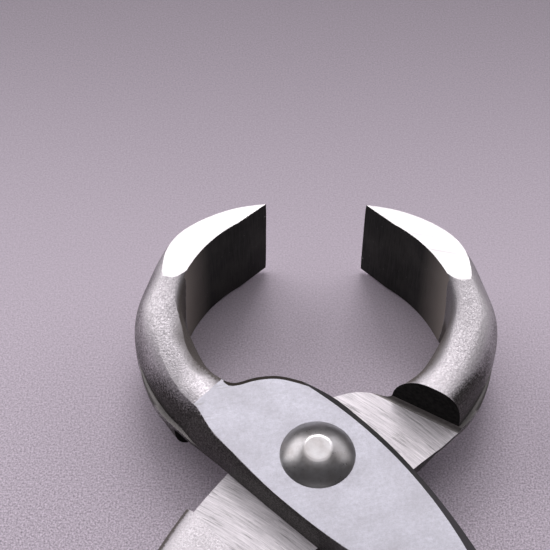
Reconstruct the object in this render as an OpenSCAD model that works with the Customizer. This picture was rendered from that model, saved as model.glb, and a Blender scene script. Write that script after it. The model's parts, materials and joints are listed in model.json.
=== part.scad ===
// Plier-type root cutter: two like forgings that cross at one rivet and bite edge to edge.
// A half is drawn with the jaws shut: jaw on +X, handle on -X, lap face up, pivot at the origin.

/* [Pose] */
// Angle between the halves at rest, counted from shut jaws
rest_angle = 20.3; // [0:0.1:45]

/* [Jaws] */
// Pivot to the cutting edge
jaw_reach = 44; // [38:0.5:50]
// Furthest distance of a jaw's middle from the centre plane, jaws shut
jaw_bow = 19.7; // [17:0.1:22]
// Length of the cutting edge
edge_l = 17.2; // [14:0.1:20]
// Tilt of the ground side faces, higher towards the joint
face_tilt = 2.9; // [1:0.1:4]
// Thickness of the blade behind the edge
blade_t = 6.4; // [5:0.1:8]
// Thickness of the jaw at the widest part of its bow
stem_t = 7.8; // [6:0.1:9]
// Height of the jaw at the widest part of its bow
stem_h = 17.8; // [16:0.1:19]
// Thickness of the jaw near the joint
root_t = 10; // [8.5:0.1:12]
// Height of the jaw near the joint
root_h = 15; // [13.5:0.1:17]
// Length of the straight bevel behind the edge
bevel_l = 6.1; // [3:0.1:8]
// Angle of the bevel from square across the tool
bevel_angle = 32; // [25:1:40]
// Radius of the hollow-ground wall inside the jaw
hollow_r = 21.5; // [18:0.5:30]
// Distance of the crease, where the hollow grinding ends, below the edge
crease_drop = 13.5; // [10:0.1:14]
// Width of the trimmed land along the parting line, outside the jaw's root
land_w = 0.7; // [0.3:0.1:0.9]
// Depth of that land under the centre plane, half as much above it
land_h = 0.9; // [0.6:0.1:1.2]

/* [Joint] */
// Thickness of one lap plate
plate_t = 5.25; // [4:0.05:7]
// Width of one lap plate at the rivet
plate_w = 18.3; // [15:0.1:22]
// Height of the forging at the joint, before the lap is cut
joint_h = 13.6; // [12:0.1:15]
// Angle between a lap plate and the line across the tool, jaws shut
plate_angle = 53; // [45:1:60]
// Running gap between the lap faces
lap_gap = 0.3; // [0.1:0.05:0.5]
// Pivot to the lap shoulder on the jaw side
jaw_shoulder = 16.9; // [15:0.1:19]
// Direction of that shoulder's normal, jaws shut
shoulder_angle = 71.7; // [60:0.1:80]
// Pivot to the lap shoulder on the handle side
handle_shoulder = 19.5; // [18:0.1:22]
// Pivot to the start of the run-out of the ground plate face
runout_start = 19; // [17:0.1:21]
// Slope of that run-out
runout_angle = 15; // [10:0.5:25]
// Width of the bevel along the long edge of a plate
edge_bevel = 1.1; // [0.4:0.05:2]
// Radius at the foot of both shoulders
foot_r = 0.9; // [0.4:0.1:1]

/* [Rivet] */
// Diameter of the shank
rivet_d = 7; // [5:0.1:9]
// Diameter of a head
head_d = 11; // [9:0.1:14]
// Height of a head
head_h = 2; // [1.2:0.1:3]
// Diameter of the flat on a head
head_flat_d = 4.1; // [2:0.1:6]
// Running clearance of the shank and of the lower head on the lower half
fit_gap = 0.05; // [0.01:0.01:0.1]

/* [Handles] */
// Pivot to the end of a handle
handle_reach = 163; // [130:1:190]
// Furthest distance of a handle's middle from the centre plane, jaws shut
handle_bow = 25.5; // [20:0.5:32]
// Distance of a handle's end from the centre plane, jaws shut
handle_end_x = 16; // [10:0.5:24]
// Width of a handle
handle_w = 9.4; // [7:0.1:12]
// Height of a handle
handle_h = 8.8; // [7:0.1:11]

/* [Stop pegs] */
// Diameter of a peg
peg_d = 5; // [3:0.1:6]
// Distance of the pegs below the pivot
peg_drop = 25; // [23:0.5:30]
// Gap between the two pegs with the jaws shut
peg_gap = 0.5; // [0.2:0.1:1]
// Chamfer on the free end of a peg
peg_chamfer = 0.5; // [0.2:0.1:1]

/* [Hidden] */

// Section points round the forging, and the spacing of its sections
SIDES = 32;
JAW_STEP = 1.7;
HANDLE_STEP = 5;
CAP_STEPS = [0, 0.35, 0.65, 0.85, 0.97];
OVAL = [2.4, 2.4];
END_ANGLE = 10;
// Radius and place of the cone that bevels the plate
BEVEL_R = 70;
BEVEL_SHIFT = -0.5;
// Direction of the hollow wall where it leaves the bevel, and the bow of the crease that ends it
HOLLOW_LEAD = 24.5;
CREASE_R = 30;
FAR = 60;
$fn = 64;

// A point of the lap plate, by its distance from the pivot towards the jaw and its offset towards the mouth
function on_plate(along, off) =
    along * [cos(plate_angle), sin(plate_angle)] + off * [-sin(plate_angle), cos(plate_angle)];

// Rows of the forging from the edge to the handle's end: middle point, angle of the section, width, height,
// the squareness of its quarters (2 is an ellipse): lap side, then ground side, mouth before outside,
// and the share of the land's width that stands out of it, under 0 where there is none
function row(p, angle, w, h, lap, ground, land = -1.2) = concat(p, [angle, w, h], lap, ground, [land]);
function mean(a, b) = (a + b) / 2;
neck_t = mean(stem_t, root_t);
neck_h = mean(stem_h, root_h);
peg_x = 0.63 * handle_bow;
rows = [
    row([-0.07 * jaw_bow, 0.964 * jaw_reach], 80, 0.47 * blade_t, 1.4 * edge_l, [6, 6], [6, 6]),
    row([0.285 * jaw_bow, 0.93 * jaw_reach], 73, 0.92 * blade_t, 1.31 * edge_l, [5, 5], [5, 5]),
    row([0.663 * jaw_bow, 0.856 * jaw_reach], 53, 1.08 * blade_t, 1.22 * edge_l, [8, 3.8], [8, 3.8]),
    row([0.91 * jaw_bow, 0.744 * jaw_reach], 26, 1.1 * blade_t, 1.041 * stem_h, [8, 2], [8, 2]),
    row([jaw_bow, 0.61 * jaw_reach], 5, stem_t, stem_h, [5.5, 2.5], [5.5, 2.5], -0.8),
    row([0.94 * jaw_bow, 0.466 * jaw_reach], -10, neck_t, neck_h, [3.2, 2.8], [3.2, 2.3], 0.5),
    row([0.793 * jaw_bow, 0.325 * jaw_reach], -21, root_t, root_h, [2.3, 3], [2.6, 1.7], 1),
    row(on_plate(1.07 * jaw_shoulder, -0.2 * plate_w),
        -27, 0.605 * plate_w, 1.08 * joint_h, [2.1, 3.4], [4, 1.4], 0.45),
    row(on_plate(0.94 * jaw_shoulder, -0.15 * plate_w),
        -36.5, 0.725 * plate_w, 1.06 * joint_h, [3, 3.6], [5, 1.9], 0.1),
    row(on_plate(0.78 * jaw_shoulder, -0.09 * plate_w),
        -42.5, 0.835 * plate_w, 1.03 * joint_h, [5, 3.8], [6, 2.9], -0.6),
    row(on_plate(0.58 * jaw_shoulder, -0.045 * plate_w),
        -44.5, 0.925 * plate_w, 1.01 * joint_h, [6, 4], [7, 3.7]),
    row(on_plate(0.3 * jaw_shoulder, 0.005 * plate_w), -40, 1.016 * plate_w, joint_h, [7, 4.5], [8, 5]),
    row(on_plate(0, 0.008 * plate_w), -37, 1.016 * plate_w, joint_h, [8, 5], [8, 6.5]),
    row(on_plate(-0.72 * handle_shoulder, -0.02 * plate_w),
        -37, 0.907 * plate_w, 0.97 * joint_h, [5, 5], [5, 5]),
    row(on_plate(-1.08 * handle_shoulder, -0.038 * plate_w),
        -36, 0.776 * plate_w, 0.91 * joint_h, [4, 4], [4, 4]),
    row([-peg_x, -peg_drop], -27, 1.28 * handle_w, 1.25 * handle_h, [3, 3], [3, 3]),
    row([-0.8 * handle_bow, -0.22 * handle_reach], -17, 1.1 * handle_w, 1.1 * handle_h, OVAL, OVAL),
    row([-0.94 * handle_bow, -0.34 * handle_reach], -8, 1.02 * handle_w, 1.02 * handle_h, OVAL, OVAL),
    row([-handle_bow, -0.49 * handle_reach], 0, handle_w, handle_h, OVAL, OVAL),
    row([-0.94 * handle_bow, -0.66 * handle_reach], 6, handle_w, handle_h, OVAL, OVAL),
    row([-0.8 * handle_bow, -0.83 * handle_reach], 9, handle_w, handle_h, OVAL, OVAL),
    row([-handle_end_x, -handle_reach], END_ANGLE, handle_w, handle_h, OVAL, OVAL),
];
LAST = len(rows) - 1;
// Row at the widest part of the jaw, and the first row of the plate that is clear of the land
STEM = 4;
PLATE = 10;

// Smooth curve through the rows, with slopes weighted by the spacing of the rows
function span(i) = norm([rows[i + 1].x - rows[i].x, rows[i + 1].y - rows[i].y]);
function step_slope(i) = (rows[i + 1] - rows[i]) / span(i);
function slope(i) =
    i == 0 ? step_slope(0) :
    i == LAST ? step_slope(LAST - 1) :
    (step_slope(i - 1) * span(i) + step_slope(i) * span(i - 1)) / (span(i - 1) + span(i));
function between(i, t) =
    (2 * t ^ 3 - 3 * t ^ 2 + 1) * rows[i] + (t ^ 3 - 2 * t ^ 2 + t) * span(i) * slope(i)
    + (3 * t ^ 2 - 2 * t ^ 3) * rows[i + 1] + (t ^ 3 - t ^ 2) * span(i) * slope(i + 1);
function steps(i) = ceil(span(i) / (rows[i].y < -peg_drop ? HANDLE_STEP : JAW_STEP));

function squareness(row, c, s) = row[5 + (c < 0 ? 0 : 1) + (s < 0 ? 2 : 0)];
function ring(row) = [
    for (k = [0:SIDES - 1])
        let (a = 360 * (k + 0.5) / SIDES, c = cos(a), s = sin(a), q = squareness(row, c, s))
            let (r = (abs(c) ^ q + abs(s) ^ q) ^ (-1 / q), u = r * c * row[3] / 2)
                [row.x + u * cos(row[2]), row.y + u * sin(row[2]), r * s * row[4] / 2]
];

// Round end of the handle: the last section drawn in along a quarter circle
function capped(row, s) = [
    row.x + row[3] / 2 * s * sin(row[2]), row.y - row[3] / 2 * s * cos(row[2]), row[2],
    row[3] * sqrt(1 - s ^ 2), row[4] * sqrt(1 - s ^ 2), each [for (k = [5:9]) row[k]]
];

sections = concat(
    [for (i = [0:LAST - 1], k = [0:steps(i) - 1]) between(i, k / steps(i))],
    [for (s = CAP_STEPS) capped(rows[LAST], s)]
);

module loft(rings) {
    n = len(rings[0]);
    m = len(rings);
    points = [for (r = rings) each r];
    sides = [for (i = [0:m - 2], k = [0:n - 1]) let (j = (k + 1) % n)
        each [[i * n + k, (i + 1) * n + j, i * n + j], [i * n + k, (i + 1) * n + k, (i + 1) * n + j]]];
    caps = [[for (k = [0:n - 1]) k], [for (k = [0:n - 1]) m * n - 1 - k]];
    polyhedron(points, concat(sides, caps));
}

// Section of the land, from the middle of the forging outwards
function land_ring(row) =
    let (u = row[3] / 2 + land_w * row[9])
        [for (p = [[u, -land_h], [u, land_h / 2], [0, land_h / 2], [0, -land_h]])
            [row.x + p[0] * cos(row[2]), row.y + p[0] * sin(row[2]), p[1]]];

module forging() {
    loft([for (s = sections) ring(s)]);
    loft([for (i = [STEM:PLATE - 1], k = [0:steps(i) - 1]) land_ring(between(i, k / steps(i)))]);
}

// Everything above the tilted plane of a ground side face
module above_side_face() {
    translate([-FAR, jaw_reach, edge_l / 2])
        rotate([-face_tilt, 0, 0])
            translate([0, -FAR, 0])
                cube([2 * FAR, 2 * FAR, FAR]);
}

// Plan of the space inside the jaws that grinding opens: a straight bevel, then a hollow
bevel_end = [bevel_l * cos(bevel_angle), jaw_reach - bevel_l * sin(bevel_angle)];
crease_y = jaw_reach - crease_drop;
hollow_centre = bevel_end - hollow_r * [sin(HOLLOW_LEAD), cos(HOLLOW_LEAD)];
module inside_jaw() {
    intersection() {
        translate(hollow_centre) circle(hollow_r, $fn = 128);
        translate([-FAR, bevel_end.y - hollow_r]) square(2 * FAR);
    }
    polygon([[-FAR / 4, crease_y], [bevel_end.x, crease_y], bevel_end,
        2 * [0, jaw_reach] - bevel_end, [-FAR / 4, jaw_reach]]);
}

// Plan of the zone where the other half's plate turns
module lap_zone() {
    intersection() {
        rotate(shoulder_angle) translate([-FAR, -FAR]) square([FAR + jaw_shoulder, 2 * FAR]);
        rotate(180 + plate_angle) translate([-FAR, -FAR]) square([FAR + handle_shoulder, 2 * FAR]);
    }
}

// The same zone as a solid, rounded at the foot of its shoulders
module lap_cut() {
    difference() {
        linear_extrude(FAR) lap_zone();
        rotate(shoulder_angle) translate([jaw_shoulder, 0, 0]) foot();
        rotate(180 + plate_angle) translate([handle_shoulder, 0, 0]) foot();
    }
}
module foot() {
    rotate([90, 0, 0])
        linear_extrude(2 * FAR, center = true)
            difference() {
                translate([-foot_r, -foot_r]) square(2 * foot_r);
                translate([-foot_r, foot_r]) circle(1.03 * foot_r, $fn = 48);
            }
}

// What is ground off the outer face of the plate, with its run-out on to the jaw
module plate_grind() {
    rise = FAR * tan(runout_angle);
    rotate(180 + plate_angle)
        rotate([90, 0, 0])
            linear_extrude(2 * FAR, center = true)
                polygon([[-runout_start, -plate_t], [FAR, -plate_t], [FAR, -FAR],
                    [-runout_start - FAR, -FAR], [-runout_start - FAR, -plate_t - rise]]);
}

// Bevel along the long edge of the plate: the outside of a wide cone
module plate_bevel() {
    rotate(180 + plate_angle)
        intersection() {
            translate([BEVEL_SHIFT, BEVEL_R - plate_w / 2 + edge_bevel, -plate_t])
                rotate_extrude($fn = 256)
                    polygon([[BEVEL_R, 0], [BEVEL_R + plate_t, plate_t], [BEVEL_R + plate_t, -plate_t],
                        [BEVEL_R - edge_bevel, -plate_t], [BEVEL_R - edge_bevel, -edge_bevel]]);
            translate([-jaw_shoulder, -plate_w, -2 * plate_t])
                cube([jaw_shoulder + 1.5 * handle_shoulder, plate_w, 2 * plate_t]);
        }
}

module half(bore_d) {
    difference() {
        forging();
        above_side_face();
        mirror([0, 0, 1]) above_side_face();
        intersection() {
            linear_extrude(FAR, center = true) inside_jaw();
            translate([0, crease_y + CREASE_R, 0])
                rotate([0, 90, 0])
                    cylinder(h = 2 * FAR, r = CREASE_R, center = true, $fn = 128);
        }
        translate([0, 0, -lap_gap / 2]) lap_cut();
        plate_grind();
        plate_bevel();
        cylinder(h = FAR, d = bore_d, center = true);
        peg_seat();
    }
}

// Blind seat of the stop peg, from the middle of the handle to the centre plane
module peg_seat() {
    at_peg() cylinder(h = peg_x, d = peg_d);
}

module peg() {
    straight = peg_x - peg_gap / 2 - peg_chamfer;
    at_peg() {
        cylinder(h = straight, d = peg_d);
        translate([0, 0, straight]) cylinder(h = peg_chamfer, d1 = peg_d, d2 = peg_d - 2 * peg_chamfer);
    }
}

module at_peg() translate([-peg_x, -peg_drop, 0]) rotate([0, 90, 0]) children();

module rivet_head() {
    dome_r = dome_radius();
    intersection() {
        translate([0, 0, -sqrt(dome_r ^ 2 - (head_d / 2) ^ 2)]) sphere(dome_r, $fn = 96);
        cylinder(h = head_h, d = head_d);
    }
}
function dome_radius() =
    let (drop = (head_d ^ 2 - head_flat_d ^ 2) / 4, c = (drop - head_h ^ 2) / (2 * head_h))
        sqrt(c ^ 2 + (head_d / 2) ^ 2);

// Middle of the length and lowest level of the tool at rest, taken from the pivot
half_open = rest_angle / 2;
top_y = jaw_reach * cos(half_open);
end_y = handle_end_x * sin(half_open) - handle_reach * cos(half_open)
    - CAP_STEPS[len(CAP_STEPS) - 1] * handle_w / 2 * cos(END_ANGLE - half_open);
function face_z(y) = edge_l / 2 + (jaw_reach - y) * tan(face_tilt);
function crest_z(i) = rows[i][4] / 2;
under = face_z(rows[STEM].y) - crest_z(STEM);
over = crest_z(STEM - 1) - face_z(rows[STEM - 1].y);
rest_z = (crest_z(STEM) * over + crest_z(STEM - 1) * under) / (over + under);

// The tool lies with its middle over the origin; each half opens by half the rest angle
module placed() translate([0, -mean(top_y, end_y), rest_z]) children();
module lower() placed() rotate(-half_open) children();
module upper() placed() rotate(half_open) rotate([0, 180, 0]) children();

module upper_half() color("gainsboro") upper() half(rivet_d);
module lower_half() color("silver") lower() half(rivet_d + 2 * fit_gap);
module rivet() {
    color("dimgray")
        placed() {
            translate([0, 0, -plate_t - fit_gap]) cylinder(h = 2 * plate_t + fit_gap, d = rivet_d);
            translate([0, 0, plate_t]) rivet_head();
            mirror([0, 0, 1]) translate([0, 0, plate_t + fit_gap]) rivet_head();
        }
}
module upper_stop_peg() color("gray") upper() peg();
module lower_stop_peg() color("gray") lower() peg();

upper_half();
lower_half();
rivet();
upper_stop_peg();
lower_stop_peg();
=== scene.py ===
import json
import math

import bmesh
import bpy
import numpy as np
from mathutils import Matrix, Vector


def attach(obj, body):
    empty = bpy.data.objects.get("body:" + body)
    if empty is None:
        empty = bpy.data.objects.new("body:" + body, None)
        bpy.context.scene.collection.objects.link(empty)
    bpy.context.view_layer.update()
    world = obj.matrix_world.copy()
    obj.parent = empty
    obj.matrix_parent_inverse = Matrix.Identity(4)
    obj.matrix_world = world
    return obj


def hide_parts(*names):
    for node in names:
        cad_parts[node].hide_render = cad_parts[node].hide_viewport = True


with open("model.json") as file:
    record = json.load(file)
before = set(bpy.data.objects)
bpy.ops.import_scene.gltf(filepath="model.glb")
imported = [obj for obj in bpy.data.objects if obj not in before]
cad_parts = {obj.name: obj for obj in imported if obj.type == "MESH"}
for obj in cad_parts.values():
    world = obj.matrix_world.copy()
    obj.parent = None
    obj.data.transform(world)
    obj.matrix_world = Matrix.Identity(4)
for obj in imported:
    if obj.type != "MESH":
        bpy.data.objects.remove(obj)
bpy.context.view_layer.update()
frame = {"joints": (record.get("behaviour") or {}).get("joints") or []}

MM = 0.001
PIVOT = Vector(frame["joints"][0]["pos_m"])

# Sizes of the solids in mm and degrees, as in the part's source.
# A half is drawn with shut jaws: jaw on +X, handle on -X, lap face up, pivot at 0.
REST_ANGLE = 20.3
JAW_REACH, JAW_BOW, EDGE_L, FACE_TILT = 44.0, 19.7, 17.2, 2.9
BLADE_T, STEM_T, STEM_H, ROOT_T, ROOT_H = 6.4, 7.8, 17.8, 10.0, 15.0
NECK_T, NECK_H = (STEM_T + ROOT_T) / 2, (STEM_H + ROOT_H) / 2
BEVEL_L, BEVEL_ANGLE, HOLLOW_R, HOLLOW_LEAD = 6.1, 32.0, 21.5, 24.5
CREASE_DROP, CREASE_R = 13.5, 30.0
LAND_W, LAND_H, NO_LAND = 0.7, 0.9, -1.2
PLATE_T, PLATE_W, JOINT_H, PLATE_ANGLE, LAP_GAP = 5.25, 18.3, 13.6, 53.0, 0.3
JAW_SHOULDER, SHOULDER_ANGLE, HANDLE_SHOULDER, FOOT_R = 16.9, 71.7, 19.5, 0.9
RUNOUT_START, RUNOUT_ANGLE = 19.0, 15.0
EDGE_BEVEL, CONE_R, CONE_SHIFT = 1.1, 70.0, -0.5
RIVET_D, HEAD_D, HEAD_H, HEAD_FLAT_D, FIT_GAP = 7.0, 11.0, 2.0, 4.1, 0.05
HANDLE_REACH, HANDLE_BOW, HANDLE_END_X, HANDLE_W, HANDLE_H = 163.0, 25.5, 16.0, 9.4, 8.8
PEG_D, PEG_DROP, PEG_GAP, PEG_CHAMFER = 5.0, 25.0, 0.5, 0.5
PEG_X = 0.63 * HANDLE_BOW

# Fine work of the scene alone: spacing and welding of points, the plate's broken edge, small roundings
SIDES, JAW_STEP, HANDLE_STEP = 128, 0.5, 1.6
END_ARC, END_RINGS = 76, 12
CROWN_OFF = 0.3
MERGE, SLIVER, SHARP_ANGLE = 0.004, 0.002, 9
EDGE_RUN, EDGE_DROP, EDGE_FADE = 0.6, 0.27, 3
PEG_ROUND, HEAD_ROUND = 0.1, 0.02

# Reach of the cutters past the solid
FAR, BEYOND = 60.0, 30.0
SIDE_AHEAD, SIDE_BACK = 20.0, 26.0


def polar(deg, r=1.0):
    return r * np.array([math.cos(math.radians(deg)), math.sin(math.radians(deg))])


ALONG = polar(PLATE_ANGLE)
OFF = polar(PLATE_ANGLE + 90)
SHOULDERS = ((JAW_SHOULDER, SHOULDER_ANGLE), (HANDLE_SHOULDER, 180 + PLATE_ANGLE))
EDGE_POINT = np.array([0, JAW_REACH])
BEVEL_END = EDGE_POINT + polar(-BEVEL_ANGLE, BEVEL_L)
HOLLOW_CENTRE = BEVEL_END - polar(90 - HOLLOW_LEAD, HOLLOW_R)
CONE_OFF = PLATE_W / 2 - EDGE_BEVEL - CONE_R


def on_plate(along, off):
    """A point of the lap plate, by its distance from the pivot towards the jaw and towards the mouth."""
    return along * ALONG + off * OFF


# Columns of a row: middle point, angle, width and height of the section, squareness of its quarters (2 is an
# ellipse), share of the land's width that stands out of it, and crown of its top and underside
AT_X, AT_Y, TURN, WIDE, HIGH = range(5)
LAP_MOUTH, LAP_OUTSIDE, GROUND_MOUTH, GROUND_OUTSIDE, LAND_OUT, CROWN = range(5, 11)


def row(p, angle, w, h, lap, ground, land=NO_LAND, crown=0.0):
    return [p[0], p[1], angle, w, h, *lap, *ground, land, crown]


# Rows from the edge to the handle's end, as in the source, but for a crown where the white face ends
# and softer quarters towards the mouth from the neck to the rivet
OVAL = [2.4, 2.4]
ROWS = np.array([
    row([-0.07 * JAW_BOW, 0.964 * JAW_REACH], 80, 0.47 * BLADE_T, 1.4 * EDGE_L, [6, 6], [6, 6]),
    row([0.285 * JAW_BOW, 0.93 * JAW_REACH], 73, 0.92 * BLADE_T, 1.31 * EDGE_L, [5, 5], [5, 5]),
    row([0.663 * JAW_BOW, 0.856 * JAW_REACH], 53, 1.08 * BLADE_T, 1.22 * EDGE_L, [8, 3.8], [8, 3.8]),
    row([0.91 * JAW_BOW, 0.744 * JAW_REACH], 26, 1.1 * BLADE_T, 1.041 * STEM_H, [8, 2], [8, 2], crown=0.055),
    row([JAW_BOW, 0.61 * JAW_REACH], 5, STEM_T, STEM_H, [5.5, 2.5], [5.5, 2.5], -0.8),
    row([0.94 * JAW_BOW, 0.466 * JAW_REACH], -10, NECK_T, NECK_H, [2.8, 2.8], [2.1, 2.3], 0.5),
    row([0.793 * JAW_BOW, 0.325 * JAW_REACH], -21, ROOT_T, ROOT_H, [2.2, 3], [1.9, 1.7], 1),
    row(on_plate(1.07 * JAW_SHOULDER, -0.2 * PLATE_W), -27, 0.605 * PLATE_W, 1.08 * JOINT_H,
        [2.1, 3.4], [2.1, 1.4], 0.45),
    row(on_plate(0.94 * JAW_SHOULDER, -0.15 * PLATE_W), -36.5, 0.725 * PLATE_W, 1.06 * JOINT_H,
        [3, 3.6], [3, 1.9], 0.1),
    row(on_plate(0.78 * JAW_SHOULDER, -0.09 * PLATE_W), -42.5, 0.835 * PLATE_W, 1.03 * JOINT_H,
        [5, 3.8], [4.2, 2.9], -0.6),
    row(on_plate(0.58 * JAW_SHOULDER, -0.045 * PLATE_W), -44.5, 0.925 * PLATE_W, 1.01 * JOINT_H,
        [6, 4], [6, 3.7]),
    row(on_plate(0.3 * JAW_SHOULDER, 0.005 * PLATE_W), -40, 1.016 * PLATE_W, JOINT_H, [7, 4.5], [7, 5]),
    row(on_plate(0, 0.008 * PLATE_W), -37, 1.016 * PLATE_W, JOINT_H, [8, 5], [7, 6.5]),
    row(on_plate(-0.72 * HANDLE_SHOULDER, -0.02 * PLATE_W), -37, 0.907 * PLATE_W, 0.97 * JOINT_H,
        [5, 5], [5, 5]),
    row(on_plate(-1.08 * HANDLE_SHOULDER, -0.038 * PLATE_W), -36, 0.776 * PLATE_W, 0.91 * JOINT_H,
        [4, 4], [4, 4]),
    row([-PEG_X, -PEG_DROP], -27, 1.28 * HANDLE_W, 1.25 * HANDLE_H, [3, 3], [3, 3]),
    row([-0.8 * HANDLE_BOW, -0.22 * HANDLE_REACH], -17, 1.1 * HANDLE_W, 1.1 * HANDLE_H, OVAL, OVAL),
    row([-0.94 * HANDLE_BOW, -0.34 * HANDLE_REACH], -8, 1.02 * HANDLE_W, 1.02 * HANDLE_H, OVAL, OVAL),
    row([-HANDLE_BOW, -0.49 * HANDLE_REACH], 0, HANDLE_W, HANDLE_H, OVAL, OVAL),
    row([-0.94 * HANDLE_BOW, -0.66 * HANDLE_REACH], 6, HANDLE_W, HANDLE_H, OVAL, OVAL),
    row([-0.8 * HANDLE_BOW, -0.83 * HANDLE_REACH], 9, HANDLE_W, HANDLE_H, OVAL, OVAL),
    row([-HANDLE_END_X, -HANDLE_REACH], 10, HANDLE_W, HANDLE_H, OVAL, OVAL),
])
STEM_ROW, ROOT_ROW, PLATE_ROW, PIVOT_ROW = 4, 6, 10, 12


def sections(first=0, last=len(ROWS) - 1):
    """Sections of the forging: a smooth curve through the rows, then the round end of the handle."""
    span = np.linalg.norm(np.diff(ROWS[:, :2], axis=0), axis=1)
    steps = np.diff(ROWS, axis=0) / span[:, None]
    between = (steps[:-1] * span[1:, None] + steps[1:] * span[:-1, None]) / (span[:-1] + span[1:])[:, None]
    slope = np.vstack([steps[:1], between, steps[-1:]])
    out = []
    for i in range(first, last):
        s = span[i]
        n = math.ceil(s / (HANDLE_STEP if ROWS[i, AT_Y] < -PEG_DROP else JAW_STEP))
        for t in np.arange(n) / n:
            out.append((2 * t**3 - 3 * t**2 + 1) * ROWS[i] + (t**3 - 2 * t**2 + t) * s * slope[i]
                       + (3 * t**2 - 2 * t**3) * ROWS[i + 1] + (t**3 - t**2) * s * slope[i + 1])
    if last < len(ROWS) - 1:
        return out
    end = ROWS[-1]
    turn = math.radians(end[TURN])
    for t in np.sin(np.radians(np.linspace(0, END_ARC, END_RINGS))):
        cap = end.copy()
        cap[AT_X] += end[WIDE] / 2 * t * math.sin(turn)
        cap[AT_Y] -= end[WIDE] / 2 * t * math.cos(turn)
        cap[[WIDE, HIGH]] *= math.sqrt(1 - t * t)
        out.append(cap)
    return out


def across_section(sec, offset, z):
    """Points of a section, by their distance from its middle towards the outside and their height."""
    side = polar(sec[TURN])
    return np.stack([sec[AT_X] + offset * side[0], sec[AT_Y] + offset * side[1], z], 1)


def ring(sec):
    """Outline of the forging at a section: four quarters of superellipses, with a crown where it has one."""
    a = 2 * np.pi * (np.arange(SIDES) + 0.5) / SIDES
    c, s = np.cos(a), np.sin(a)
    lap = np.where(c < 0, sec[LAP_MOUTH], sec[LAP_OUTSIDE])
    ground = np.where(c < 0, sec[GROUND_MOUTH], sec[GROUND_OUTSIDE])
    power = np.where(s > 0, lap, ground)
    r = (np.abs(c)**power + np.abs(s)**power)**(-1 / power)
    z = r * s * sec[HIGH] / 2 * (1 - sec[CROWN] * (r * c + CROWN_OFF)**2)
    return across_section(sec, r * c * sec[WIDE] / 2, z)


def land_ring(sec):
    """Outline of the land along the parting line at a section."""
    out = sec[WIDE] / 2 + LAND_W * sec[LAND_OUT]
    return across_section(sec, np.array([out, out, 0, 0]), LAND_H * np.array([-1, 0.5, 0.5, -1]))


def mesh_object(name, verts, faces):
    me = bpy.data.meshes.new(name)
    me.from_pydata([tuple(map(float, v)) for v in verts], [], faces)
    bm = bmesh.new()
    bm.from_mesh(me)
    bmesh.ops.recalc_face_normals(bm, faces=bm.faces)
    bm.to_mesh(me)
    bm.free()
    ob = bpy.data.objects.new(name, me)
    bpy.context.scene.collection.objects.link(ob)
    return ob


def stack(name, rings):
    """A closed skin over a list of rings with the same number of points."""
    n = len(rings[0])
    faces = [[i * n + k, i * n + (k + 1) % n, (i + 1) * n + (k + 1) % n, (i + 1) * n + k]
             for i in range(len(rings) - 1) for k in range(n)]
    faces += [list(range(n))[::-1], [(len(rings) - 1) * n + k for k in range(n)]]
    return mesh_object(name, np.concatenate(rings), faces)


def cut(ob, cutters, how="DIFFERENCE"):
    """Apply booleans to ob, one after the other, and drop the cutters."""
    for c in cutters:
        m = ob.modifiers.new("cut", "BOOLEAN")
        m.operation, m.object, m.solver = how, c, "EXACT"
    bpy.context.view_layer.update()
    me = bpy.data.meshes.new_from_object(ob.evaluated_get(bpy.context.evaluated_depsgraph_get()))
    ob.modifiers.clear()
    ob.data = me
    for c in cutters:
        bpy.data.objects.remove(c)
    return ob


# Cutters of a half
def face_height(y):
    """Height of the jaw's ground side faces over the centre plane."""
    return EDGE_L / 2 + (JAW_REACH - y) * math.tan(math.radians(FACE_TILT))


def side_cutter(sign):
    """What lies beyond one ground side face of the jaw."""
    ahead, back = JAW_REACH + SIDE_AHEAD, JAW_REACH - SIDE_BACK
    quad = [[ahead, sign * face_height(ahead)], [back, sign * face_height(back)],
            [back, sign * BEYOND], [ahead, sign * BEYOND]]
    return stack("side", [np.array([[x, *p] for p in quad]) for x in (-FAR, FAR)])


def wall_cutter():
    """The mouth of the jaw: flat bevel and hollow-ground wall, down to the curved crease."""
    arc_end, arc_points, drum_points = -10, 90, 192
    past_edge, half_h, half_drum = 6, 20.0, 80.0
    arc = [HOLLOW_CENTRE + polar(a, HOLLOW_R) for a in np.linspace(90 - HOLLOW_LEAD, arc_end, arc_points)]
    aside = [[-BEYOND, arc[-1][1]], [-BEYOND, JAW_REACH + past_edge]]
    plan = np.array([2 * EDGE_POINT - BEVEL_END, *arc, *aside])
    wall = stack("wall", [np.c_[plan, np.full(len(plan), z)] for z in (-half_h, half_h)])
    a = np.radians(np.linspace(0, 360, drum_points, endpoint=False))
    y = JAW_REACH - CREASE_DROP + CREASE_R + CREASE_R * np.cos(a)
    drum = [np.c_[np.full(len(a), x), y, CREASE_R * np.sin(a)] for x in (-half_drum, half_drum)]
    return cut(wall, [stack("drum", drum)], "INTERSECT")


def lap_cutter():
    """The lap between both shoulders, with a radius at their feet."""
    foot_points = 13
    foot = [(FOOT_R * (1 - math.sin(a)), FOOT_R * (1 - math.cos(a)) - LAP_GAP / 2)
            for a in np.radians(np.linspace(0, 90, foot_points))]
    rings = []
    for back, z in [*foot, (0.0, BEYOND)]:
        plan = []
        for reach, angle in SHOULDERS:
            middle, aside = polar(angle, reach - back), polar(angle + 90, FAR)
            plan += [[*(middle - aside), z], [*(middle + aside), z]]
        rings.append(np.array(plan))
    return stack("lap", rings)


def grind_cutter():
    """What lies under the ground face of the plate and its run-out towards the jaw."""
    end, rise = RUNOUT_START + FAR, FAR * math.tan(math.radians(RUNOUT_ANGLE))
    side = [(RUNOUT_START, -PLATE_T), (-FAR, -PLATE_T), (-FAR, -FAR), (end, -FAR), (end, -PLATE_T - rise)]
    rings = [np.array([[*on_plate(along, off), z] for along, z in side]) for off in (-FAR, FAR)]
    return stack("grind", rings)


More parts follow.
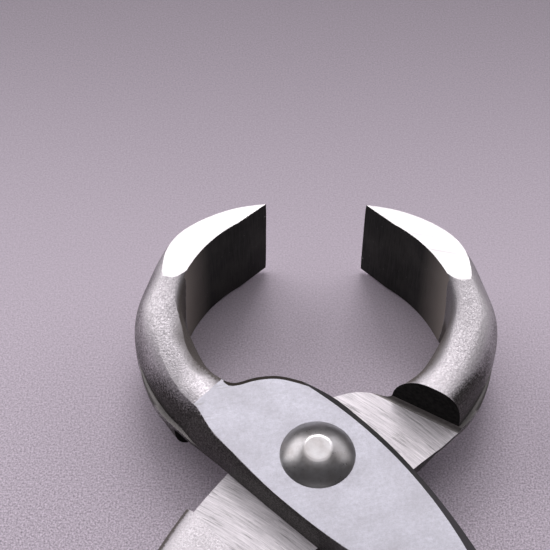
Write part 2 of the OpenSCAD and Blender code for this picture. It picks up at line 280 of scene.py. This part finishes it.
def cone_cutter():
    """The long bevel of the plate's edge, part of a wide cone."""
    arc_from, arc_to, arc_points = -13.6, 24, 76
    past, deep = 5, -4
    narrow, wide = CONE_R - EDGE_BEVEL, CONE_R + past
    shape = [(CONE_R, 0), (wide, past), (wide, deep), (narrow, deep), (narrow, -EDGE_BEVEL)]
    rings = []
    for a in np.radians(np.linspace(arc_from, arc_to, arc_points)):
        s, c = math.sin(a), math.cos(a)
        rings.append(np.array([[*on_plate(-CONE_SHIFT - r * s, CONE_OFF + r * c), z - PLATE_T]
                               for r, z in shape]))
    return stack("cone", rings)


def plate_edge():
    """The edge of the ground plate towards the mouth, from its run-out to beside the rivet."""
    line, clear_of_runout = [], 0.1
    for sec in sections(ROOT_ROW, PIVOT_ROW):
        power = sec[GROUND_MOUTH]
        reach = sec[WIDE] / 2 * (1 - (2 * PLATE_T / sec[HIGH])**power)**(1 / power)
        line.append(sec[:2] - reach * polar(sec[TURN]))
    return np.array([p for p in line if p @ ALONG < RUNOUT_START - clear_of_runout])


EDGE_LINE = plate_edge()


def edge_cutter():
    """A thin wedge that breaks that sharp edge, and fades in over its first sections."""
    ahead = np.gradient(EDGE_LINE, axis=0)
    ahead /= np.linalg.norm(ahead, axis=1)[:, None]
    rings = []
    for i, (p, (dx, dy)) in enumerate(zip(EDGE_LINE, ahead)):
        run, drop = np.array([EDGE_RUN, EDGE_DROP]) * min(1, (i + 1) / EDGE_FADE)
        outwards = np.array([dy, -dx])
        wedge = ((-run, 0), (run, 2 * drop), (run, -1), (-run, -1))
        rings.append(np.array([[*(p + a * outwards), z - PLATE_T] for a, z in wedge]))
    return stack("edge", rings)


# Surfaces of a half, told apart by a face's middle point c and normal n
FORGED, SIDE, WALL, GROUND, LAP, SHOULDER, BEVEL, LAND, FOOT, EDGE = range(10)
LAND_SECTIONS = np.array(sections(STEM_ROW, PLATE_ROW))
ON_FLAT, ON_SLOPE, ON_SHOULDER, ON_CURVE, ON_LAND = 0.005, 0.01, 0.02, 0.03, 0.04
LEVEL = 0.99
BEVEL_FROM, BEVEL_TO, LAND_TO_Y, LAND_FROM_X = -29, 17, 24, 3


def is_side(c, n):
    return abs(abs(c[2]) - face_height(c[1])) < ON_SLOPE and abs(n[2]) > LEVEL


def is_ground(c, n):
    return abs(c[2] + PLATE_T) < ON_FLAT and n[2] < -0.999


def is_lap(c, n):
    return abs(c[2] + LAP_GAP / 2) < ON_SLOPE and n[2] > LEVEL


def by_shoulder(c):
    """Whether a point lies on a shoulder of the lap or in the radius at its foot."""
    gaps = [reach - c[:2] @ polar(angle) for reach, angle in SHOULDERS]
    return c[2] > -LAP_GAP / 2 - ON_SLOPE and any(-ON_SHOULDER < g < FOOT_R + ON_SHOULDER for g in gaps)


def is_foot(c, n):
    return n[2] > 0.3 and c[2] < FOOT_R and by_shoulder(c)


def is_shoulder(c, n):
    return max(-n[:2] @ polar(angle) for _, angle in SHOULDERS) > 0.9 and by_shoulder(c)


def is_bevel(c, n):
    along, off = c[:2] @ ALONG, c[:2] @ OFF
    r = math.hypot(along + CONE_SHIFT, off - CONE_OFF)
    on_cone = abs(r - CONE_R - c[2] - PLATE_T) < ON_CURVE and n[2] < -0.5
    return on_cone and off > 0 and BEVEL_FROM < along < BEVEL_TO


def is_edge(c, n):
    if not (-0.98 < n[2] < -0.8 and 0 < c[2] + PLATE_T < 1.3 * EDGE_DROP):
        return False
    return ((EDGE_LINE - c[:2])**2).sum(1).min() < EDGE_RUN**2


def is_land(c, n):
    if not (-LAND_H - ON_SLOPE <= c[2] <= LAND_H / 2 + ON_SLOPE and 0 < c[1] < LAND_TO_Y
            and c[0] > LAND_FROM_X):
        return False
    sec = LAND_SECTIONS[((LAND_SECTIONS[:, :2] - c[:2])**2).sum(1).argmin()]
    stands_out = (c[:2] - sec[:2]) @ polar(sec[TURN]) - sec[WIDE] / 2
    flat = abs(n[2]) > 0.95 and min(abs(c[2] + LAND_H), abs(c[2] - LAND_H / 2)) < ON_FLAT
    upright = abs(n[2]) < 0.05 and sec[LAND_OUT] > 0 and abs(stands_out - LAND_W * sec[LAND_OUT]) < ON_LAND
    return flat or upright


def is_wall(c, n):
    below_crease, below_bevel = 0.3, 0.1
    if c[1] <= JAW_REACH - CREASE_DROP - below_crease or abs(n[2]) >= 0.02 or n[1] >= 0.3:
        return False
    on_hollow = abs(np.linalg.norm(c[:2] - HOLLOW_CENTRE) - HOLLOW_R) < ON_CURVE
    on_bevel = abs((c[:2] - EDGE_POINT) @ polar(90 - BEVEL_ANGLE)) < ON_CURVE
    return on_hollow or (on_bevel and c[1] > BEVEL_END[1] - below_bevel)


TESTS = ((SIDE, is_side), (GROUND, is_ground), (LAP, is_lap), (FOOT, is_foot), (SHOULDER, is_shoulder),
         (BEVEL, is_bevel), (EDGE, is_edge), (LAND, is_land), (WALL, is_wall))


def label(c, n):
    return next((kind for kind, test in TESTS if test(c, n)), FORGED)


def half_mesh(name):
    """One forging in mm, with its surfaces as material indices and the attributes that the materials read."""
    ob = stack(name, [ring(s) for s in sections()])
    cut(ob, [stack("land", [land_ring(s) for s in LAND_SECTIONS])], "UNION")
    cut(ob, [side_cutter(1), side_cutter(-1), wall_cutter(), lap_cutter(), grind_cutter(), cone_cutter(),
             edge_cutter()])
    me = ob.data
    bm = bmesh.new()
    bm.from_mesh(me)
    bmesh.ops.remove_doubles(bm, verts=bm.verts, dist=MERGE)
    bmesh.ops.dissolve_degenerate(bm, edges=bm.edges, dist=SLIVER)
    bm.normal_update()
    for f in bm.faces:
        f.material_index = label(np.array(f.calc_center_median()), np.array(f.normal))
        f.smooth = True
    sharp = math.radians(SHARP_ANGLE)
    for e in bm.edges:
        f = e.link_faces
        e.smooth = not (len(f) == 2 and f[0].material_index != f[1].material_index
                        and f[0].normal.angle(f[1].normal, 0) > sharp)
    bm.to_mesh(me)
    bm.free()
    co = np.empty(len(me.vertices) * 3, np.float32)
    me.vertices.foreach_get("co", co)
    me.attributes.new("half_co", "FLOAT_VECTOR", "POINT").data.foreach_set("vector", co)
    for key, values in zip(("flank", "across"), sideways(me, co.reshape(-1, 3))):
        me.attributes.new(key, "FLOAT", "POINT").data.foreach_set("value", values.astype(np.float32))
    return ob


def sideways(me, co):
    """How far each point faces, and lies, to the outside of the jaw (+) or towards its mouth (-)."""
    normal = np.empty(len(co) * 3, np.float32)
    me.vertex_normals.foreach_get("vector", normal)
    secs = np.array(sections())
    near = secs[((co[:, None, :2] - secs[None, :, :2])**2).sum(2).argmin(1)]
    turn = np.radians(near[:, TURN])
    axis = np.stack([np.cos(turn), np.sin(turn)], 1)
    faces = (normal.reshape(-1, 3)[:, :2] * axis).sum(1)
    lies = ((co[:, :2] - near[:, :2]) * axis).sum(1) / (near[:, WIDE] / 2)
    return faces, lies


def lathe(name, profile, turns):
    """A closed body of revolution about Z from a profile of (radius, z), given from axis to axis."""
    verts, faces = [(0, 0, profile[0][1])], []
    angles = np.linspace(0, 2 * np.pi, turns, endpoint=False)
    for r, z in profile[1:-1]:
        verts += [(r * math.cos(a), r * math.sin(a), z) for a in angles]
    verts.append((0, 0, profile[-1][1]))
    last = 1 + (len(profile) - 3) * turns
    for k in range(turns):
        j = (k + 1) % turns
        faces.append([0, 1 + k, 1 + j])
        faces += [[i + k, i + turns + k, i + turns + j, i + j] for i in range(1, last, turns)]
        faces.append([last + j, last + k, len(verts) - 1])
    ob = mesh_object(name, verts, faces)
    ob.data.shade_smooth()
    return ob


# Materials
def rgb(v, warm=0.0):
    return (v * (1 + warm), v, v * (1 - warm), 1)


def pink(v):
    return (min(1.035 * v, 1), v, min(1.02 * v, 1), 1)


class Nodes:
    """A material under construction, metal unless told otherwise, with short names for its nodes."""

    def __init__(self, name, object_space=False):
        self.mat = bpy.data.materials.new(name)
        self.mat.use_nodes = True
        self.tree = self.mat.node_tree
        self.bsdf = next(n for n in self.tree.nodes if n.type == "BSDF_PRINCIPLED")
        self.bsdf.inputs["Metallic"].default_value = 1.0
        if object_space:
            self.co = self.new("ShaderNodeTexCoord").outputs["Object"]
        else:
            self.co = self.new("ShaderNodeAttribute", attribute_name="half_co").outputs["Vector"]

    def new(self, kind, **props):
        node = self.tree.nodes.new(kind)
        for key, value in props.items():
            setattr(node, key, value)
        return node

    def put(self, socket, value):
        if isinstance(value, bpy.types.NodeSocket):
            self.tree.links.new(value, socket)
        else:
            socket.default_value = value

    def attribute(self, name):
        return self.new("ShaderNodeAttribute", attribute_name=name).outputs["Fac"]

    def axes(self, src=None):
        node = self.new("ShaderNodeSeparateXYZ")
        self.put(node.inputs[0], src or self.co)
        return node.outputs

    def math(self, op, *values):
        node = self.new("ShaderNodeMath", operation=op)
        for socket, value in zip(node.inputs, values):
            self.put(socket, value)
        return node.outputs[0]

    def map(self, value, lo, hi, to_lo=0.0, to_hi=1.0, ease="LINEAR"):
        node = self.new("ShaderNodeMapRange", clamp=True, interpolation_type=ease)
        for socket, v in zip(node.inputs, (value, lo, hi, to_lo, to_hi)):
            self.put(socket, v)
        return node.outputs[0]

    def mapping(self, scale, turn=0.0, src=None):
        node = self.new("ShaderNodeMapping")
        node.inputs["Rotation"].default_value = (0, 0, math.radians(turn))
        node.inputs["Scale"].default_value = scale
        self.put(node.inputs["Vector"], src or self.co)
        return node.outputs[0]

    def noise(self, scale, detail=3.0, rough=0.55, src=None):
        node = self.new("ShaderNodeTexNoise")
        self.put(node.inputs["Vector"], src or self.co)
        for key, value in (("Scale", scale), ("Detail", detail), ("Roughness", rough)):
            node.inputs[key].default_value = value
        return node.outputs["Fac"]

    def cells(self, scale):
        node = self.new("ShaderNodeTexVoronoi")
        self.put(node.inputs["Vector"], self.co)
        node.inputs["Scale"].default_value = scale
        return node.outputs["Distance"]

    def mix(self, share, a, b):
        node = self.new("ShaderNodeMix", data_type="RGBA")
        self.put(node.inputs["Factor"], share)
        self.put(node.inputs[6], a)
        self.put(node.inputs[7], b)
        return node.outputs[2]

    def bump(self, height, strength, depth, normal=None):
        node = self.new("ShaderNodeBump")
        node.inputs["Strength"].default_value = strength
        node.inputs["Distance"].default_value = depth
        self.put(node.inputs["Height"], height)
        if normal is not None:
            self.put(node.inputs["Normal"], normal)
        return node.outputs["Normal"]

    def out(self, color, rough, normal, **sockets):
        for key, value in {"Base Color": color, "Roughness": rough, "Normal": normal, **sockets}.items():
            self.put(self.bsdf.inputs[key], value)
        return self.mat


def forged_metal():
    """Tumbled forging: pale speckled crests, flanks dark with scale and painted shade, with a ragged border
    of grain.
    """
    n = Nodes("forged_steel")
    _, y, z = n.axes()
    flank, across = n.attribute("flank"), n.attribute("across")
    patch, grain, pits = n.noise(0.16, 4), n.noise(3.4, 3, 0.75), n.cells(2.2)
    lap_side = n.map(z, -1.0, 1.5)
    ragged = n.math("MULTIPLY_ADD", grain, 0.5, n.math("MULTIPLY_ADD", patch, 0.3, -0.4))
    facing = n.math("ADD", flank, ragged)

    # Dark on the outer flank, partly real scale and partly painted shade on the side turned away from the
    # lamps: wide at the root, a narrow rim on the stem, faint on the handle
    limit = n.map(y, 9.0, 19.0, 0.47, 0.84)
    limit = n.math("MULTIPLY_ADD", lap_side, n.map(y, 11.0, 22.0, -0.25, 0.04), limit)
    outer_scale_and_shade = n.map(n.math("SUBTRACT", facing, limit), -0.06, 0.24)
    outer_scale_and_shade = n.math("MULTIPLY", outer_scale_and_shade, n.map(y, -26.0, -12.0, 0.25, 1.0))

    # Scale on the mouth side: a crisp border at the root, less towards the white face and on the lap side
    mouth = n.math("ADD", facing, n.map(y, 22.0, 29.0, 0.0, 0.4))
    mouth = n.math("MULTIPLY_ADD", lap_side, 0.34, mouth)
    full = 0.94
    inner = n.map(mouth, n.map(y, 14.0, 20.0, -0.23, -0.12), n.map(y, 14.0, 20.0, -0.37, -0.56), 0.0, full)

    # Grain with bright specks and large patches
    base = n.mix(n.map(grain, 0.32, 0.68), pink(0.7), pink(0.33))
    speck = n.map(n.math("ADD", grain, n.math("MULTIPLY", pits, 0.3)), 0.46, 0.36)
    base = n.mix(n.math("MULTIPLY", speck, 0.6), base, pink(0.95))
    base = n.mix(n.map(patch, 0.4, 0.7, 0.0, 0.16), base, pink(0.34))

    # Paler near the plate, darker on the lap side and by the white face; painted light makes the stem's
    # outward flank paler, and painted shade darkens the side towards the mouth
    near_plate, near_face = n.map(y, 21.0, 12.0, 0.0, 0.4), n.map(y, 24.0, 31.0, 0.0, 0.5)
    painted_flank_light = n.math("MULTIPLY", n.map(flank, 0.3, 0.7, 0.0, 0.4), n.map(y, 16.0, 24.0))
    painted_mouth_shade = n.math("MULTIPLY", n.map(across, 0.1, -0.95, 0.0, 0.6), n.map(y, 21.0, 29.0))
    base = n.mix(near_plate, base, pink(0.74))
    base = n.mix(n.map(z, -2.0, 4.0, 0.0, 0.3), base, pink(0.3))
    # Painted light: the stem's outward flank made paler
    base = n.mix(painted_flank_light, base, pink(0.9))
    base = n.mix(near_face, base, pink(0.36))
    # Painted shade: darker on the side towards the mouth
    base = n.mix(painted_mouth_shade, base, pink(0.2))
    base = n.mix(inner, base, rgb(0.07, 0.15))
    # Dark outer flank: real scale mixed with painted shade
    base = n.mix(outer_scale_and_shade, base, n.mix(n.map(grain, 0.3, 0.62), rgb(0.14, 0.05), rgb(0.045, 0.06)))

    rough = n.map(grain, 0.3, 0.75, 0.46, 0.64)
    b = n.bump(grain, 0.7, 0.00012)
    b = n.bump(n.map(pits, 0.0, 0.35), 0.3, 0.00008, b)
    b = n.bump(n.noise(0.5, 3), 0.06, 0.0006, b)
    return n.out(base, rough, b, Metallic=n.map(inner, 0.0, full, 1.0, 0.1), IOR=1.15)


def ground_metal(name, value, rough, stretch, turn, warm=0.0, lines=0.35, fine=9.0, depth=0.3):
    """Ground steel: fine lines along one direction, with a few deeper scratches and faint clouding."""
    n = Nodes(name)
    co = n.mapping(stretch, turn)
    line = n.noise(fine, 4, 0.65, co)
    deep = n.map(n.noise(fine * 0.45, 2, 0.5, co), 0.62, 0.72)
    cloud = n.noise(0.22, 4)
    spots = n.map(n.cells(0.55), 0.0, 0.06, 1.0, 0.0)
    base = n.mix(n.map(line, 0.3, 0.7), rgb(value * (1 - lines), warm), rgb(value * (1 + 0.25 * lines), warm))
    base = n.mix(n.map(cloud, 0.35, 0.7, 0.0, 0.3), base, rgb(value * 0.8, warm))
    base = n.mix(n.math("MULTIPLY", deep, 0.35), base, rgb(value * 0.45, warm))
    base = n.mix(n.math("MULTIPLY", spots, 0.3), base, rgb(value * 0.3, warm))
    uneven = n.math("ADD", line, n.math("MULTIPLY", cloud, 0.5))
    b = n.bump(line, depth, 0.00004)
    b = n.bump(deep, -0.6 * depth, 0.00004, b)
    return n.out(base, n.map(uneven, 0.5, 1.0, rough - 0.07, rough + 0.09), b)


def plate_metal():
    """Ground and tumbled plate: pale, softly mottled, with faint lines and short marks at its run-out."""
    n = Nodes("plate_steel")
    cloud, mottle, grain = n.noise(0.2, 4), n.noise(1.5, 5, 0.75), n.noise(4.6, 3, 0.7)
    line = n.noise(5.0, 4, 0.6, n.mapping((0.12, 1.0, 1.0), 20))
    base = n.mix(n.map(mottle, 0.32, 0.68), (0.445, 0.45, 0.486, 1), (0.555, 0.56, 0.61, 1))
    base = n.mix(n.map(cloud, 0.4, 0.68, 0.0, 0.35), base, (0.455, 0.45, 0.47, 1))
    base = n.mix(n.map(line, 0.35, 0.7, 0.0, 0.1), base, (0.4, 0.395, 0.415, 1))
    base = n.mix(n.map(grain, 0.5, 0.66, 0.0, 0.5), base, (0.38, 0.375, 0.39, 1))
    along, _, _ = n.axes(n.mapping((1.0, 1.0, 1.0), -PLATE_ANGLE))
    marks = n.map(n.noise(2.4, 2, 0.5, n.mapping((0.1, 1.0, 1.0), PLATE_ANGLE + 40)), 0.6, 0.66)
    at_runout = n.math("MULTIPLY", n.map(along, 13.5, 17.5), 0.5)
    base = n.mix(n.math("MULTIPLY", marks, at_runout), base, rgb(0.3, 0.02))
    rough = n.map(n.math("ADD", line, cloud), 0.7, 1.3, 0.56, 0.68)
    b = n.bump(line, 0.08, 0.00004)
    return n.out(base, rough, n.bump(grain, 0.12, 0.00004, b), Metallic=0.55)


def lap_metal():
    """Lap face: streaks of the grinding wheel on wide arcs, nearly parallel to the jaw's shoulder."""
    n = Nodes("lap_steel")
    arc_r, arc_turn, stretch = 90.0, SHOULDER_ANGLE - 8, 0.045
    from_centre = n.new("ShaderNodeVectorMath", operation="SUBTRACT")
    n.put(from_centre.inputs[0], n.co)
    from_centre.inputs[1].default_value = (*polar(arc_turn, -arc_r), 0)
    radius = n.new("ShaderNodeVectorMath", operation="LENGTH")
    n.put(radius.inputs[0], from_centre.outputs[0])
    _, along, _ = n.axes(n.mapping((1.0, 1.0, 1.0), -arc_turn))
    streaks = n.new("ShaderNodeCombineXYZ")
    n.put(streaks.inputs[0], radius.outputs["Value"])
    n.put(streaks.inputs[1], n.math("MULTIPLY", along, stretch))
    co = streaks.outputs[0]
    line, wide, grain = n.noise(3.8, 5, 0.75, co), n.noise(1.1, 3, 0.6, co), n.noise(4.0, 3, 0.7)
    deep = n.map(n.noise(3.0, 2, 0.5, n.mapping((1.0, 1.6, 1.0), 0, co)), 0.6, 0.68)
    base = n.mix(n.map(line, 0.34, 0.66), pink(0.42), pink(0.92))
    base = n.mix(n.map(wide, 0.4, 0.66, 0.0, 0.3), base, pink(0.5))
    base = n.mix(n.math("MULTIPLY", deep, 0.6), base, rgb(0.2, 0.02))
    base = n.mix(n.map(grain, 0.5, 0.72, 0.0, 0.3), base, pink(0.84))
    b = n.bump(line, 0.3, 0.00005)
    return n.out(base, n.map(line, 0.3, 0.7, 0.56, 0.7), n.bump(deep, -0.3, 0.00006, b), Metallic=0.35)


def wall_metal():
    """Hollow-ground wall: nearly black, with upright lines and dust, browner towards the crease."""
    n = Nodes("wall_steel")
    line, cloud = n.noise(5.0, 4, 0.6, n.mapping((1.0, 1.0, 0.05))), n.noise(0.18, 3)
    fine_dust, dust = n.map(n.cells(0.9), 0.0, 0.07, 1.0, 0.0), n.map(n.cells(0.3), 0.02, 0.05, 1.0, 0.0)
    base = n.mix(n.map(line, 0.3, 0.75), rgb(0.03, 0.02), rgb(0.055, 0.03))
    base = n.mix(n.map(cloud, 0.45, 0.75, 0.0, 0.5), base, rgb(0.075, 0.06))
    _, y, _ = n.axes()
    base = n.mix(n.map(y, 37.5, 30.5), base, rgb(0.34, 0.11))
    base = n.mix(n.math("MULTIPLY", n.math("MAXIMUM", fine_dust, dust), 0.7), base, rgb(0.34, 0.02))
    rough = n.map(line, 0.3, 0.7, 0.3, 0.42)
    return n.out(base, rough, n.bump(line, 0.2, 0.00004), Metallic=0.0, IOR=1.04)


def shoulder_metal():
    """Black shoulders of the lap."""
    n = Nodes("shoulder_steel")
    grain = n.noise(1.6, 4, 0.6)
    base = n.mix(n.map(grain, 0.35, 0.75), rgb(0.012), rgb(0.03, 0.05))
    return n.out(base, n.map(grain, 0.3, 0.7, 0.45, 0.62), n.bump(grain, 0.3, 0.0001), Metallic=0.0, IOR=1.03)


def rivet_metal(name, value, rough):
    """Smooth dark steel with faint clouds and small dents."""
    n = Nodes(name, object_space=True)
    grain, cloud = n.noise(2600, 3, 0.6), n.noise(420, 3)
    dents = n.map(n.cells(900), 0.0, 0.12, 1.0, 0.0)
    base = n.mix(n.map(cloud, 0.35, 0.7), rgb(value * 0.85, 0.03), rgb(value * 1.15))
    base = n.mix(n.math("MULTIPLY", dents, 0.2), base, rgb(0.12))
    b = n.bump(n.noise(700, 2), 0.05, 0.00012)
    return n.out(base, n.map(grain, 0.3, 0.7, rough - 0.04, rough + 0.06), n.bump(grain, 0.05, 0.00003, b))


def peg_metal():
    """Drawn steel with lines along the peg."""
    n = Nodes("peg_steel", object_space=True)
    line = n.noise(2400, 3, 0.6, n.mapping((1, 0.1, 0.1)))
    base = n.mix(n.map(line, 0.3, 0.7), rgb(0.3), rgb(0.46))
    return n.out(base, n.map(line, 0.3, 0.7, 0.28, 0.42), n.bump(line, 0.25, 0.00004))


# In the order of the surfaces' numbers
HALF_METALS = [
    forged_metal(),
    ground_metal("side_steel", 0.92, 0.7, (0.05, 1.0, 1.0), 30, 0.01, lines=0.26, fine=3.2, depth=0.12),
    wall_metal(),
    plate_metal(),
    lap_metal(),
    shoulder_metal(),
    ground_metal("bevel_steel", 0.105, 0.5, (0.1, 1.0, 1.0), -PLATE_ANGLE, lines=0.3),
    ground_metal("land_steel", 0.17, 0.5, (1.0, 1.0, 0.1), 0, 0.04, lines=0.3, fine=4.0),
    ground_metal("foot_steel", 0.22, 0.46, (0.1, 1.0, 1.0), 90 - SHOULDER_ANGLE, 0.05, lines=0.4, fine=5.0),
    ground_metal("edge_steel", 0.05, 0.5, (0.3, 1.0, 1.0), 0, 0.14, lines=0.3, fine=4.0),
]


# Pieces
def finish_piece(ob, node, body):
    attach(ob, body)
    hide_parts(node)


def place_half(name, node, body, turn):
    ob = half_mesh(name)
    ob.data.transform(Matrix.Translation(PIVOT) @ turn @ Matrix.Scale(MM, 4))
    kinds = np.empty(len(ob.data.polygons), np.int32)
    ob.data.polygons.foreach_get("material_index", kinds)
    for metal in HALF_METALS:
        ob.data.materials.append(metal)
    ob.data.polygons.foreach_set("material_index", kinds)
    finish_piece(ob, node, body)


def head_profile(z0):
    """Domed head from the flat outwards and down to the shank, z counted from the middle of the joint."""
    rim, flat, dome_points = HEAD_D / 2, HEAD_FLAT_D / 2, 22
    centre = (rim**2 - flat**2 - HEAD_H**2) / (2 * HEAD_H)
    dome = math.hypot(centre, rim)
    profile = [(0, z0 + HEAD_H), (0.9 * flat, z0 + HEAD_H)]
    for r in np.linspace(flat + 6 * HEAD_ROUND, rim - 3 * HEAD_ROUND, dome_points):
        profile.append((r, z0 + math.sqrt(dome**2 - r**2) - centre))
    return profile + [(rim, z0 + HEAD_ROUND), (rim - HEAD_ROUND, z0)]


def place_rivet():
    shank, under = RIVET_D / 2, PLATE_T + FIT_GAP
    lower_head = [(r, -z) for r, z in head_profile(under)][::-1]
    profile = head_profile(PLATE_T) + [(shank, PLATE_T), (shank, -under)] + lower_head
    rivet = lathe("rivet_body", profile, turns=96)
    rivet.data.transform(Matrix.Translation(PIVOT) @ Matrix.Scale(MM, 4))
    rivet.data.materials.append(rivet_metal("rivet_steel", 0.31, 0.31))
    rivet.data.materials.append(rivet_metal("rivet_flat_steel", 0.36, 0.5))
    for f in rivet.data.polygons:
        height = abs(f.center.z - PIVOT.z) / MM
        flat = abs(f.normal.z) > 0.999 and abs(height - PLATE_T - HEAD_H) < 2 * FIT_GAP
        f.material_index, f.use_smooth = int(flat), not flat
    finish_piece(rivet, "rivet", "upper_lever")


def place_peg(name, node, body, turn, metal):
    rim, tip = PEG_D / 2, PEG_X - PEG_GAP / 2
    neck, flat = tip - PEG_CHAMFER, rim - PEG_CHAMFER
    profile = [(0, 0), (rim, 0), (rim, neck - PEG_ROUND), (rim - 0.8 * PEG_ROUND, neck + 0.4 * PEG_ROUND),
               (flat + 0.5 * PEG_ROUND, tip - 0.5 * PEG_ROUND), (flat - PEG_ROUND, tip), (0, tip)]
    peg = lathe(name, profile, turns=64)
    peg.data.transform(Matrix.Translation(PIVOT) @ turn @ Matrix.Scale(MM, 4)
                       @ Matrix.Translation((-PEG_X, -PEG_DROP, 0)) @ Matrix.Rotation(math.pi / 2, 4, "Y"))
    peg.data.materials.append(metal)
    finish_piece(peg, node, body)


TURN_UPPER = Matrix.Rotation(math.radians(REST_ANGLE / 2), 4, "Z") @ Matrix.Rotation(math.pi, 4, "Y")
TURN_LOWER = Matrix.Rotation(math.radians(-REST_ANGLE / 2), 4, "Z")
PEG_METAL = peg_metal()
place_half("upper_forging", "upper_half", "upper_lever", TURN_UPPER)
place_half("lower_forging", "lower_half", "lower_lever", TURN_LOWER)
place_rivet()
place_peg("upper_peg", "upper_stop_peg", "upper_lever", TURN_UPPER, PEG_METAL)
place_peg("lower_peg", "lower_stop_peg", "lower_lever", TURN_LOWER, PEG_METAL)


# Stage, light and camera, in metres
FLOOR_HALF = 3.0
HEAD = (0, 0.08, 0.01)
LIGHT_COLOR = (1, 0.955, 1)


def floor():
    """Plain paper with fine grain, paler near the tool's head and fading towards black far behind it, a
    painted falloff of the light.
    """
    corners = [(-FLOOR_HALF, -FLOOR_HALF, 0), (FLOOR_HALF, -FLOOR_HALF, 0),
               (FLOOR_HALF, FLOOR_HALF, 0), (-FLOOR_HALF, FLOOR_HALF, 0)]
    ob = mesh_object("floor", corners, [[0, 1, 2, 3]])
    n = Nodes("floor_paper", object_space=True)
    _, y, _ = n.axes()
    grain = n.noise(3400, 3, 0.65)
    speck = n.math("SUBTRACT", n.map(grain, 0.3, 0.7), 0.5)
    speck = n.math("MULTIPLY", speck, n.map(y, 0.1, 0.055, 0.3, 1.0))
    base = n.mix(n.math("ADD", speck, 0.5), (0.22, 0.198, 0.223, 1), (0.72, 0.645, 0.727, 1))
    # Painted falloff of light: the paper darkens far behind the head
    base = n.mix(n.map(y, 0.085, 0.19, 0.0, 0.55, "SMOOTHSTEP"), base, (0.0, 0.0, 0.0, 1))
    ob.data.materials.append(n.out(base, 0.85, n.bump(grain, 0.2, 0.0002), Metallic=0.0))


def area(name, azimuth, elevation, distance, size, power):
    """A soft light that faces the tool's head, by its direction from there (azimuth 0 is behind the jaws)."""
    a, e = math.radians(azimuth), math.radians(elevation)
    out = Vector((math.sin(a) * math.cos(e), math.cos(a) * math.cos(e), math.sin(e)))
    place = Vector(HEAD) + distance * out
    data = bpy.data.lights.new(name, "AREA")
    data.shape, data.size, data.size_y = "RECTANGLE", *size
    data.energy, data.color = power, LIGHT_COLOR
    ob = bpy.data.objects.new(name, data)
    ob.location = place
    ob.rotation_euler = (Vector(HEAD) - place).to_track_quat("-Z", "Y").to_euler()
    bpy.context.scene.collection.objects.link(ob)


floor()
area("key_back", 2, 48, 0.9, (0.42, 0.26), 3.7)
area("side_left", -52, 34, 0.9, (0.8, 0.5), 3.8)
area("side_right", 52, 34, 0.9, (0.8, 0.5), 1.8)
area("top", 0, 80, 1.2, (0.9, 0.6), 3.2)
area("front", 180, 18, 1.1, (1.2, 0.3), 1.3)

world = bpy.data.worlds.new("studio")
bpy.context.scene.world = world
world.use_nodes = True
world.node_tree.nodes["Background"].inputs["Color"].default_value = (0.96, 0.92, 1.0, 1)
world.node_tree.nodes["Background"].inputs["Strength"].default_value = 0.15

# Camera of the photo: place in mm from the pivot, focal length and frame in the photo's pixels
CAM_AT, CAM_F, FRAME_PX, SENSOR_MM = (-6.803, -112.930, 208.647), 1600.0, 550.0, 36.0
CAM_EL, CAM_ROLL, CAM_YAW = math.radians(54.576), math.radians(0.722), math.radians(0.160)


def place_camera():
    level = Vector((math.sin(CAM_YAW), math.cos(CAM_YAW), 0))
    forward = math.cos(CAM_EL) * level - math.sin(CAM_EL) * Vector((0, 0, 1))
    right = Vector((math.cos(CAM_YAW), -math.sin(CAM_YAW), 0))
    up = right.cross(forward)
    rolled_right = math.cos(CAM_ROLL) * right + math.sin(CAM_ROLL) * up
    rolled_up = math.cos(CAM_ROLL) * up - math.sin(CAM_ROLL) * right
    data = bpy.data.cameras.new("camera")
    data.sensor_width = SENSOR_MM
    data.lens = CAM_F / FRAME_PX * SENSOR_MM
    data.clip_start = 0.01
    ob = bpy.data.objects.new("camera", data)
    axes = Matrix((rolled_right, rolled_up, -forward)).transposed()
    ob.matrix_world = Matrix.Translation(PIVOT + Vector(CAM_AT) * MM) @ axes.to_4x4()
    bpy.context.scene.collection.objects.link(ob)
    bpy.context.scene.camera = ob


place_camera()
bpy.context.scene.view_settings.view_transform = "Standard"
